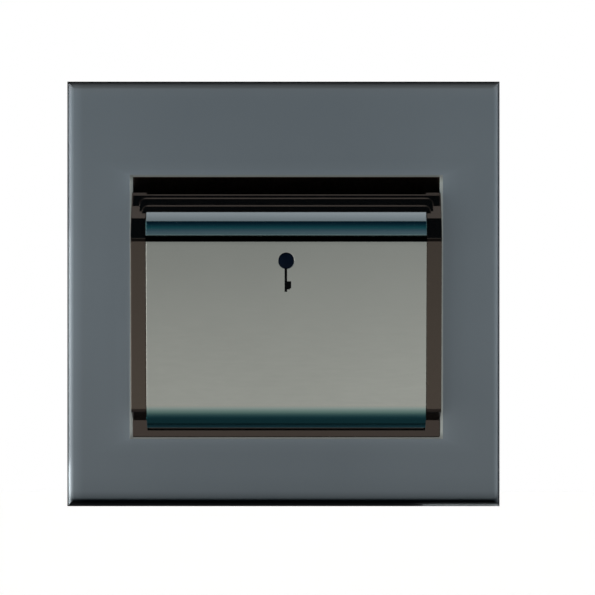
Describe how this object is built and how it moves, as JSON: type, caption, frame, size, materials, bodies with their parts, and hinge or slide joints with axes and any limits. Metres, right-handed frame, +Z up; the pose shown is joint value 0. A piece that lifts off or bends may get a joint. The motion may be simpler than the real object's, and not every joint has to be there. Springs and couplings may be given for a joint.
{
  "type": "hotel key card switch",
  "caption": "Wall switch with a hooded slot for a key card: a dark metal face plate, a satin metal cover over the slot, and a lever switch and screw terminals behind.",
  "frame": {"origin": "midway between the two wall screws, in the plane of the wall's surface", "axes": "+X to the right seen from the room, +Y into the wall, +Z up"},
  "size_m": [0.086, 0.0466, 0.0844],
  "materials": {
    "plate_metal": "satin black nickel",
    "cover_metal": "satin",
    "holder_plastic": "polished",
    "frame_plastic": "fine texture",
    "tub_plastic": "fine texture",
    "lens_plastic": "polished, tinted",
    "lever_plastic": "satin",
    "switch_plastic": "satin",
    "plunger_plastic": "polished",
    "spring_steel": "drawn wire",
    "screw_steel": "zinc plated",
    "contact_copper": "pressed copper alloy",
    "terminal_brass": "machined",
    "board_laminate": "solder mask",
    "led_epoxy": "clear epoxy",
    "resistor_paint": "lacquered"
  },
  "bodies": {
    "base": {"face_plate": "plate_metal", "mounting_frame": "frame_plastic", "card_housing": "holder_plastic", "slot_back_panel": "holder_plastic", "panel_screws": "screw_steel", "front_cover": "cover_metal", "led_lens": "lens_plastic", "lever_pin": "spring_steel", "return_spring": "spring_steel", "switch_case": "switch_plastic", "switch_lid": "switch_plastic", "common_contact": "terminal_brass", "fixed_contact": "terminal_brass", "common_link": "contact_copper", "load_link": "contact_copper", "line_terminal": "terminal_brass", "neutral_terminal": "terminal_brass", "load_terminal": "terminal_brass", "terminal_screws": "screw_steel", "led_board": "board_laminate", "led": "led_epoxy", "led_resistors": "resistor_paint", "board_pins": "terminal_brass", "board_screws": "screw_steel", "rear_housing": "tub_plastic", "housing_screws": "screw_steel"},
    "lever": {"card_lever": "lever_plastic"},
    "plunger": {"switch_plunger": "plunger_plastic"},
    "blade": {"contact_blade": "contact_copper"}
  },
  "joints": [
    {"name": "lever_pivot", "type": "hinge", "parent": "base", "child": "lever", "pos_m": [0, 0.0032, -0.0015], "axis": [1, 0, 0], "range_deg": [0, 18], "stiffness_Nm_per_rad": 0.02, "springref_deg": -5.73, "deforming": ["return_spring"]},
    {"name": "plunger_slide", "type": "slide", "parent": "base", "child": "plunger", "axis": [0, 1, 0], "range_m": [0, 0.0018]},
    {"name": "blade_pivot", "type": "hinge", "parent": "base", "child": "blade", "pos_m": [-0.014, 0.0168, -0.0075], "axis": [0, 0, 1], "range_deg": [0, 3]}
  ],
  "couplings": [
    {"joint": "plunger_slide", "follows": "lever_pivot", "m_per_rad": 0.00566},
    {"joint": "blade_pivot", "follows": "lever_pivot", "ratio": 0.1611}
  ]
}
